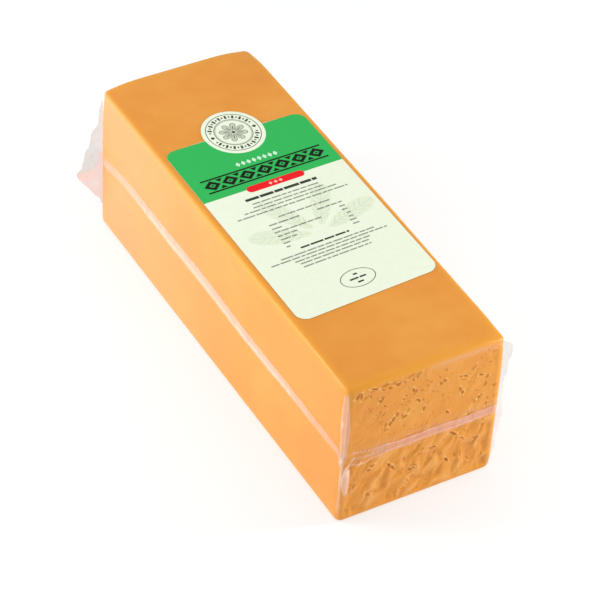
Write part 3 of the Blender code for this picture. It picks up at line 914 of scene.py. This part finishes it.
def sealRings():
    k = labelLook
    x, y, tall = k["sealX"], k["sealY"], k["sealTall"]
    shapes = [disc(x, y, radius, 72, tall) for radius in (15.6, 15.2, 11.0, 10.65, 10.3, 10.1)]
    for step in range(40):
        angle = 2 * math.pi * step / 40
        if abs(math.sin(angle)) < 0.24:
            continue
        c, s = math.cos(angle), math.sin(angle)
        wide = 0.62 if step % 2 else 0.42
        inner, outer = (11.9, 14.4) if step % 2 else (12.5, 13.8)
        corners = ((inner, wide), (inner, -wide), (outer, -wide), (outer, wide))
        shapes.append([(x + c * reach - s * side, y + tall * (s * reach + c * side))
                       for reach, side in corners])
    shapes += [lozenge(x - 13.1, y, 2.6, 2.6), lozenge(x + 13.1, y, 2.6, 2.6)]
    return shapes


def petal(x, y, reach, wide, angle, start=0.0):
    c, s = math.cos(angle), math.sin(angle)
    outline = []
    for step in range(24):
        t = 2 * math.pi * step / 24
        run = start + reach * (0.5 - 0.5 * math.cos(t))
        side = wide * math.sin(t) * (0.5 + 0.5 * math.sin(t / 2) ** 2)
        outline.append((x + c * run - s * side, y + s * run + c * side))
    return outline


# an eight-petalled flower for the middle of the seal: pale petals, or their engraved outlines and ribs
def rosette(outlined):
    k = labelLook
    shapes = []
    for step in range(8):
        angle = math.pi / 4 * step + math.pi / 8
        if outlined:
            shapes.append(petal(k["sealX"], k["sealY"], 6.6, 2.2, angle, 1.6))
            shapes.append(petal(k["sealX"], k["sealY"], 6.0, 1.8, angle, 1.9))
            shapes.append(petal(k["sealX"], k["sealY"], 3.6, 0.35, angle, 2.2))
        else:
            shapes.append(petal(k["sealX"], k["sealY"], 5.9, 1.75, angle, 1.95))
    if outlined:
        shapes.append(disc(k["sealX"], k["sealY"], 1.2, 16))
    return shapes


# lines of small print: from, to and how far up the label, in mm
printLines = (
    (-19, 22.4, 14.0), (-20, 23.6, 11.1), (-27, 30.5, 8.4), (-33, 36, 5.4), (-11.4, 20.5, -1.3),
    (-27.6, 30.5, -32.5), (-35, 37.4, -34.9), (-21.8, 24.9, -37.5), (-19.8, 22.8, -40), (-19.5, 22.8, -42.8),
)
# rows with words at the left and a figure at the right: how far up, and how wide the two are
figureRows = (
    (-5.6, 19, 15.6), (-9.0, 6, 3.5), (-12.1, 29, 3.5), (-15.4, 12, 2.6), (-18.5, 10, 3), (-21.6, 4, 4),
    (-24.8, 2.5, 4),
)
rowsLeft, rowsRight = -19.8, 25.9
ovalX, ovalY = 1.9, -63.4


def smallLines(draw):
    shapes = []
    for x0, x1, y in printLines:
        shapes += dashes(x0, x1, y, 0.95, (2.2, 7.5), draw)
    for y, left, right in figureRows:
        shapes += dashes(rowsLeft, rowsLeft + left, y, 1.0, (2.5, 6.5), draw)
        shapes += dashes(rowsRight - right, rowsRight, y, 1.0, (2.5, 6.5), draw)
    return shapes


# two bolder lines, and the oval with three short lines in it
def boldLines(draw):
    shapes = dashes(-21, 23.6, 18.1, 2.0, (4.5, 10), draw)
    shapes += dashes(-13.3, 17, -28.8, 1.25, (3.5, 8), draw)
    shapes += [disc(ovalX, ovalY, 10.5, 72, 0.657), disc(ovalX, ovalY, 10.1, 72, 0.645)]
    for wide, y in ((2.5, ovalY + 3.2), (10, ovalY), (3.5, ovalY - 3.2)):
        shapes += dashes(ovalX - wide / 2, ovalX + wide / 2, y, 1.15, (3, 6), draw)
    return shapes


draw = random.Random(12)
smallPrint = smallLines(draw)
boldPrint = boldLines(draw)
printTitle = addPrint("printTitle", titleRow(), 2, coatedPaper("inkDark", labelLook["dark"]))
printRings = addPrint("printRings", sealRings(), 2, coatedPaper("inkBlack", labelLook["ink"]))
printPetals = addPrint("printPetals", rosette(False), 2, coatedPaper("inkPetal", labelLook["petal"]))
printRosette = addPrint("printRosette", rosette(True), 3, coatedPaper("inkGrey", labelLook["engraved"]))
printDark = addPrint("printDark", boldPrint, 1, coatedPaper("inkText", labelLook["ink"]))
printSmall = addPrint("printSmall", smallPrint, 1, coatedPaper("inkSmall", labelLook["grey"]))
printPale = addPrint("printPale", [lozenge(-9.7 + 3.35 * k, 47.3, 2.7, 3.9) for k in range(8)], 1,
                     coatedPaper("inkPale", labelLook["pale"]))
pill = arcPoints(17.2, 25.5, 2.55, -90, 90, 14) + arcPoints(-13.4, 25.5, 2.55, 90, 270, 14)
printPill = addPrint("printPill", [pill], 2, coatedPaper("inkRed", labelLook["red"]))
printMarks = addPrint("printMarks", [lozenge(-1.3 + 3.2 * k, 25.5, 2.4, 2.6) for k in range(3)], 3,
                      coatedPaper("inkBlush", labelLook["blush"]))


# four broad leaves behind the small print, in a tint barely darker than the paper, and their ribs
leafTurns = (18, 62, 118, 162)


def leaves(ribbed):
    x, y = labelLook["leafX"], labelLook["leafY"]
    shapes = []
    for turn in leafTurns:
        angle = math.radians(turn)
        if not ribbed:
            shapes.append(petal(x, y, 35, 7.4, angle, 6.0))
            continue
        c, s = math.cos(angle), math.sin(angle)
        ribs = [((7, 0), (40, 0))]
        for k in range(6):
            reach = 5.0 - 0.35 * abs(k - 2)
            ribs += [((11 + 4 * k, 0.6 * way), (15 + 4 * k, reach * way)) for way in (-1, 1)]
        for ends in ribs:
            start, finish = (Vector((x + c * run - s * side, y + s * run + c * side)) for run, side in ends)
            aside = (finish - start).orthogonal().normalized() * 0.13
            corners = (start + aside, start - aside, finish - aside, finish + aside)
            shapes.append([tuple(corner) for corner in corners])
    return shapes


printLeaves = addPrint("printLeaves", leaves(False), 0, coatedPaper("inkFaint", labelLook["faint"]))
printVeins = addPrint("printVeins", leaves(True), 1, coatedPaper("inkVein", labelLook["vein"]))
print("label")


lightLook = {
    "sky": 0.68, "skyLean": 0.35,       # the sky is brighter overhead and on the left
    "skyFrom": (-0.664, 0.214, 0.714),
    "table": 0.56, "tableLow": "#A8AAAA", "tableHigh": "#ACAEAE",
    "leftWatts": 1.9, "leftSize": 0.25, "leftPlace": (-0.50, 0.17, 0.22),
    "rightWatts": 3.4, "rightSize": 0.16, "rightPlace": (0.62, -0.34, 0.24),
}


# Light table: opal acrylic lit softly from below, so what stands on it throws hardly any shadow.
def opalTable():
    material, tree, shader = newMaterial("opalLightTable")
    place = node(tree, "ShaderNodeTexCoord").outputs["Object"]
    cloud = node(tree, "ShaderNodeTexNoise", Vector=place, Scale=6.0, Detail=2.0)
    tone = rampStops(node(tree, "ShaderNodeValToRGB", Fac=cloud.outputs["Fac"]),
                     [(0.3, linear(lightLook["tableLow"])), (0.7, linear(lightLook["tableHigh"]))])
    tree.links.new(tone.outputs["Color"], shader.inputs["Base Color"])
    shader.inputs["Roughness"].default_value = 0.9
    shader.inputs["Specular IOR Level"].default_value = 0.1
    shader.inputs["Emission Color"].default_value = (1, 1, 1, 1)
    shader.inputs["Emission Strength"].default_value = lightLook["table"]
    return material


bpy.ops.mesh.primitive_plane_add(size=8, location=(0, 0, 0))
floor = bpy.context.object
nameIt(floor, "floor")
floor.data.materials.append(opalTable())

world = bpy.data.worlds.new("studio")
bpy.context.scene.world = world
world.use_nodes = True
sky = world.node_tree
facing = node(sky, "ShaderNodeTexCoord").outputs["Generated"]
leftward = node(sky, "ShaderNodeVectorMath", {"operation": "DOT_PRODUCT"}, i0=facing, i1=lightLook["skyFrom"])
strength = node(sky, "ShaderNodeMapRange", Value=leftward.outputs["Value"], i1=-1.0, i2=1.0,
                i3=lightLook["sky"] - lightLook["skyLean"], i4=lightLook["sky"] + lightLook["skyLean"])
sky.nodes["Background"].inputs["Color"].default_value = (1, 1, 1, 1)
sky.links.new(strength.outputs[0], sky.nodes["Background"].inputs["Strength"])


def softBox(name, watts, size, place):
    lamp = bpy.data.lights.new(name, "AREA")
    lamp.shape = "DISK"
    lamp.size = size
    lamp.energy = watts
    lampObject = bpy.data.objects.new(name, lamp)
    bpy.context.scene.collection.objects.link(lampObject)
    lampObject.location = place
    lampObject.rotation_euler = (Vector((0, 0, 0.05)) - Vector(place)).to_track_quat("-Z", "Y").to_euler()


softBox("leftBox", lightLook["leftWatts"], lightLook["leftSize"], lightLook["leftPlace"])
softBox("rightBox", lightLook["rightWatts"], lightLook["rightSize"], lightLook["rightPlace"])

bpy.context.scene.view_settings.view_transform = "Standard"

# the camera fitted to the photo: its place, and its own right, up and backward directions
cameraLook = {
    "lens": 166.15, "sensor": 36, "clipEnd": 20,
    "place": (-0.59698, -0.96798, 1.02480),
    "right": (0.86962, -0.49115, 0.05032),
    "up": (0.29163, 0.59323, 0.75035),
    "back": (-0.39838, -0.63785, 0.65912),
}
camera = bpy.data.cameras.new("camera")
camera.lens = cameraLook["lens"]
camera.sensor_width = cameraLook["sensor"]
camera.clip_end = cameraLook["clipEnd"]
cameraObject = bpy.data.objects.new("camera", camera)
bpy.context.scene.collection.objects.link(cameraObject)
turn = Matrix([Vector(cameraLook[way]) for way in ("right", "up", "back")]).transposed()
cameraObject.matrix_world = Matrix.Translation(cameraLook["place"]) @ turn.to_4x4()
bpy.context.scene.camera = cameraObject
print("lights and camera")
